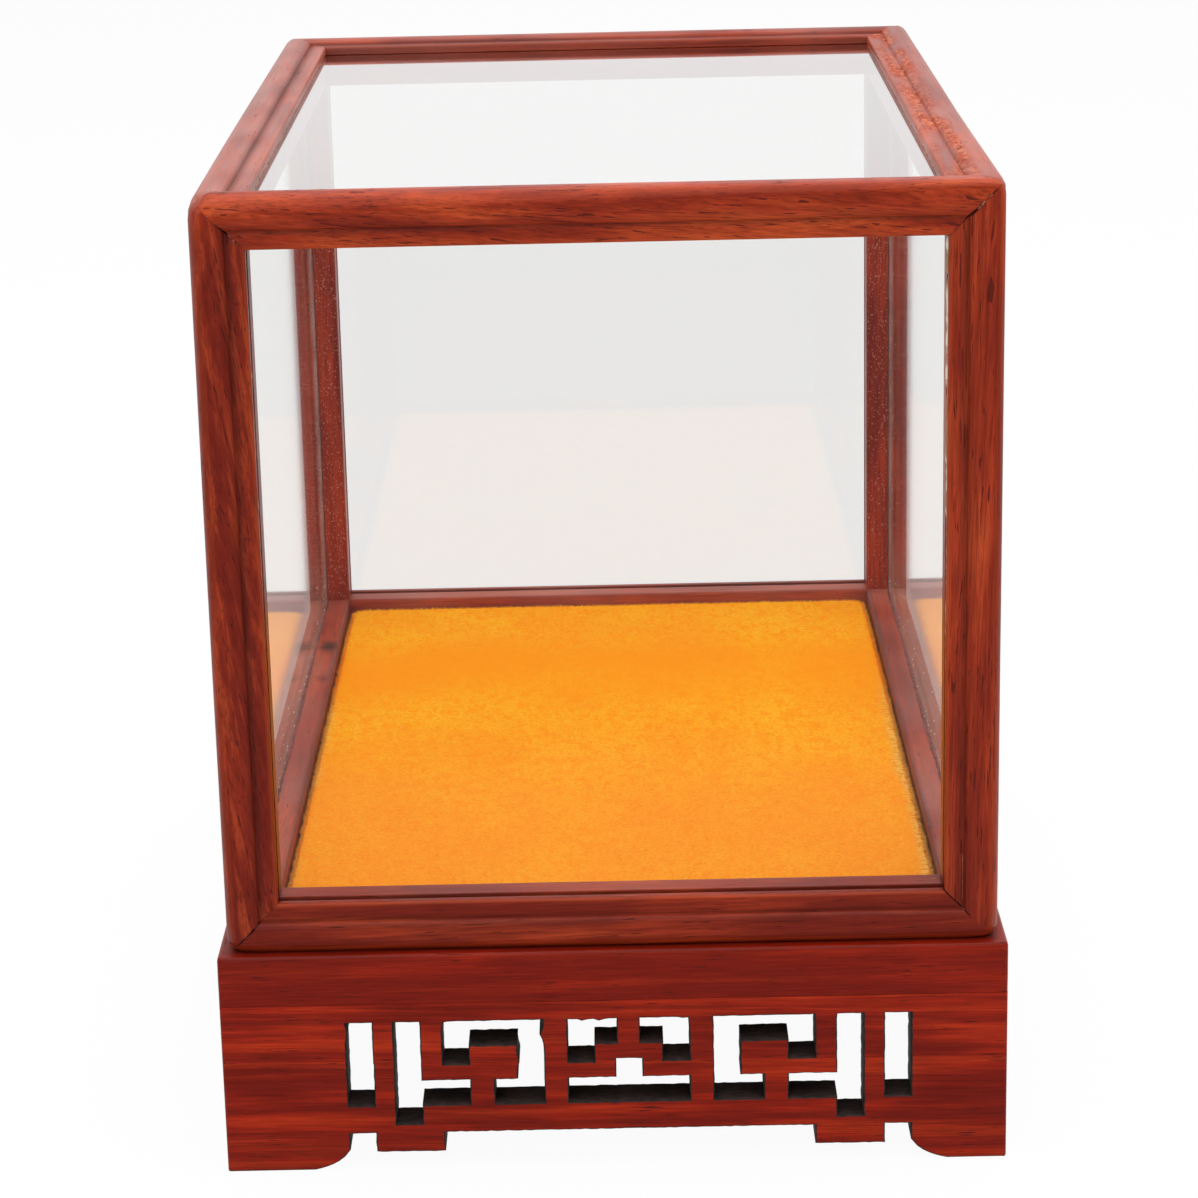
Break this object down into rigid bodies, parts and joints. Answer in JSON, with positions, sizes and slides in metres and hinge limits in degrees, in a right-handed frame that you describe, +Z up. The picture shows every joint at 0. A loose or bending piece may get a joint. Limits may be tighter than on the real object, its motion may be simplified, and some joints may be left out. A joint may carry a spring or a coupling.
{
  "type": "display case",
  "caption": "Tabletop display case: a glazed hardwood cover lifts off a fretted hardwood base with bracket feet and a plush-covered platform.",
  "frame": {"origin": "on the surface the case stands on, under the middle of the base", "axes": "+Z up, the long side of the case along Y, front towards -Y"},
  "size_m": [0.164, 0.2358, 0.2071],
  "materials": {
    "cover_wood": "thin clear polish over red hardwood, satin to semi-gloss, open pores",
    "base_wood": "thin clear polish over red hardwood with dark streaks, satin",
    "inner_wood": "bare planed wood",
    "glass": "clear polished sheet with ground edges",
    "plush": "short soft pile, matt with a light sheen"
  },
  "bodies": {
    "base": {"fret_board_front": "base_wood", "fret_board_back": "base_wood", "fret_board_left": "base_wood", "fret_board_right": "base_wood", "base_frame_rail_front": "base_wood", "base_frame_rail_back": "base_wood", "base_frame_rail_left": "base_wood", "base_frame_rail_right": "base_wood", "corner_block_front_left": "inner_wood", "corner_block_front_right": "inner_wood", "corner_block_back_left": "inner_wood", "corner_block_back_right": "inner_wood", "base_deck": "inner_wood", "platform_board": "inner_wood", "plush_sheet": "plush"},
    "cover": {"cover_post_front_left": "cover_wood", "cover_post_front_right": "cover_wood", "cover_post_back_left": "cover_wood", "cover_post_back_right": "cover_wood", "cover_top_rail_front": "cover_wood", "cover_top_rail_back": "cover_wood", "cover_top_rail_left": "cover_wood", "cover_top_rail_right": "cover_wood", "cover_bottom_rail_front": "cover_wood", "cover_bottom_rail_back": "cover_wood", "cover_bottom_rail_left": "cover_wood", "cover_bottom_rail_right": "cover_wood", "glass_front": "glass", "glass_back": "glass", "glass_left": "glass", "glass_right": "glass", "glass_top": "glass"}
  },
  "joints": [
    {"name": "cover_lift", "type": "slide", "parent": "base", "child": "cover", "axis": [0, 0, 1], "range_m": [0, 0.2]}
  ]
}
